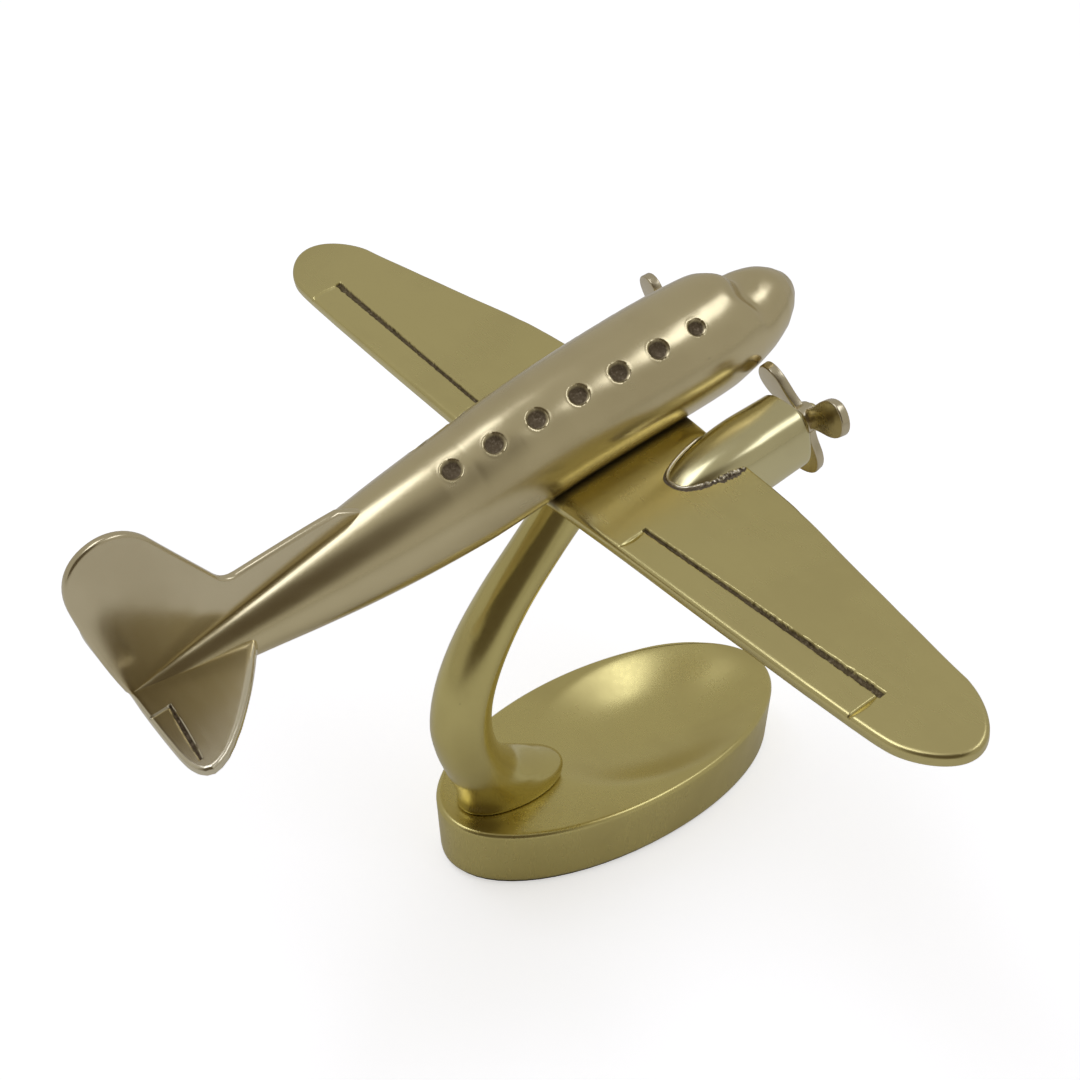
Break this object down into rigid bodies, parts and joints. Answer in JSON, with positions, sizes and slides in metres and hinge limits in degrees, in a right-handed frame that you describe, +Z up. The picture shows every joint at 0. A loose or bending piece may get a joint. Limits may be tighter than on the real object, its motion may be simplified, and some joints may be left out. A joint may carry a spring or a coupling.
{
  "type": "desk model aeroplane",
  "caption": "Polished brass model of a twin-engined airliner with turning propellers, climbing on a curved strut from an oval base with a shallow dish.",
  "frame": {"origin": "centre of the felt's underside, on the surface the model stands on", "axes": "+Z up, +X along the base towards the aeroplane's nose, +Y to the aeroplane's port side"},
  "size_m": [0.2542, 0.33, 0.1968],
  "materials": {
    "cast_brass": "satin polished, lightly tarnished",
    "propeller_brass": "satin, pale",
    "pin_brass": "turned",
    "steel": "plain",
    "felt": "dark felt"
  },
  "bodies": {
    "model": {"base": "cast_brass", "base_felt": "felt", "foot_screw_rear": "steel", "foot_screw_front": "steel", "foot_washer_rear": "steel", "foot_washer_front": "steel", "strut": "cast_brass", "wing": "cast_brass", "fuselage": "cast_brass", "fin": "cast_brass", "tailplane_port": "cast_brass", "tailplane_starboard": "cast_brass", "nacelle_port": "cast_brass", "nacelle_starboard": "cast_brass", "wing_screw_front": "steel", "wing_screw_rear": "steel", "strut_stud": "steel", "propeller_pin_port": "pin_brass", "propeller_pin_starboard": "pin_brass", "propeller_washer_port": "pin_brass", "propeller_washer_starboard": "pin_brass"},
    "propeller_port": {"propeller_port": "propeller_brass"},
    "propeller_starboard": {"propeller_starboard": "propeller_brass"}
  },
  "joints": [
    {"name": "propeller_port_spin", "type": "hinge", "parent": "model", "child": "propeller_port", "pos_m": [0.04738, 0.033, 0.15781], "axis": [0.9816, 0, 0.1908], "continuous": true},
    {"name": "propeller_starboard_spin", "type": "hinge", "parent": "model", "child": "propeller_starboard", "pos_m": [0.04738, -0.033, 0.15781], "axis": [0.9816, 0, 0.1908], "continuous": true}
  ]
}
